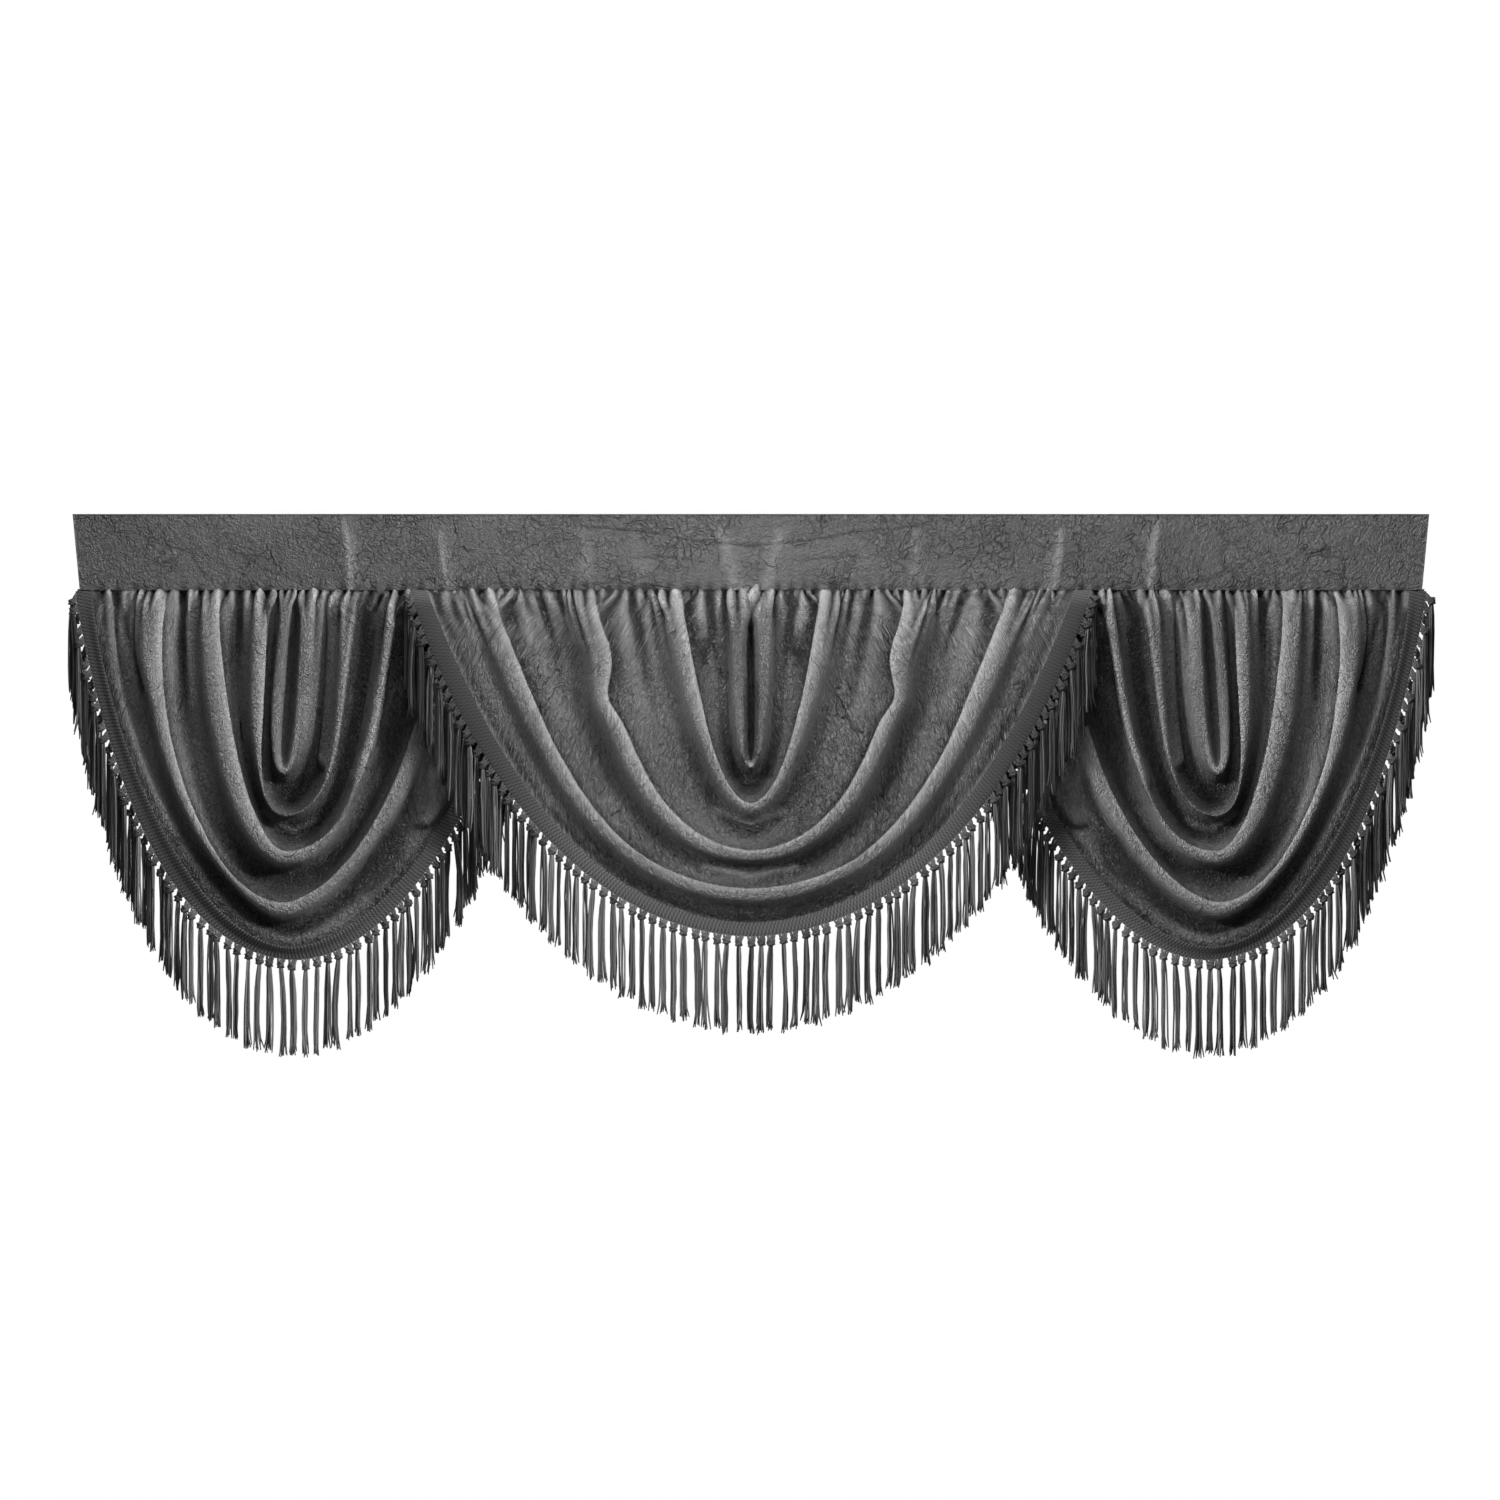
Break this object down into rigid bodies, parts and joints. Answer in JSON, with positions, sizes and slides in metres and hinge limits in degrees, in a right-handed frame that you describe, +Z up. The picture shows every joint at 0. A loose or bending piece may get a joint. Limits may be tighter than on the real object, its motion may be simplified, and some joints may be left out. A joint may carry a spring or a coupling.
{
  "type": "swag valance with tassel fringe",
  "caption": "Window valance with a plain heading band and gathered satin swags hanging in U-shaped folds, each hem trimmed with a braid and knotted tassels.",
  "frame": {"origin": "middle of the heading's top edge", "axes": "+X along the valance, +Z up, the front of the cloth faces -Y"},
  "size_m": [1.5362, 0.0628, 0.611],
  "materials": {
    "heading_satin": "crushed charcoal satin, soft sheen, pressed creases",
    "swag_satin": "crushed charcoal satin, soft sheen along the folds",
    "fringe_yarn": "matt ribbed braid and knotted yarn tassels"
  },
  "bodies": {
    "root": {"heading_band": "heading_satin", "swag_left": "swag_satin", "swag_centre": "swag_satin", "swag_right": "swag_satin", "fringe_left": "fringe_yarn", "fringe_centre": "fringe_yarn", "fringe_right": "fringe_yarn"}
  },
  "joints": []
}
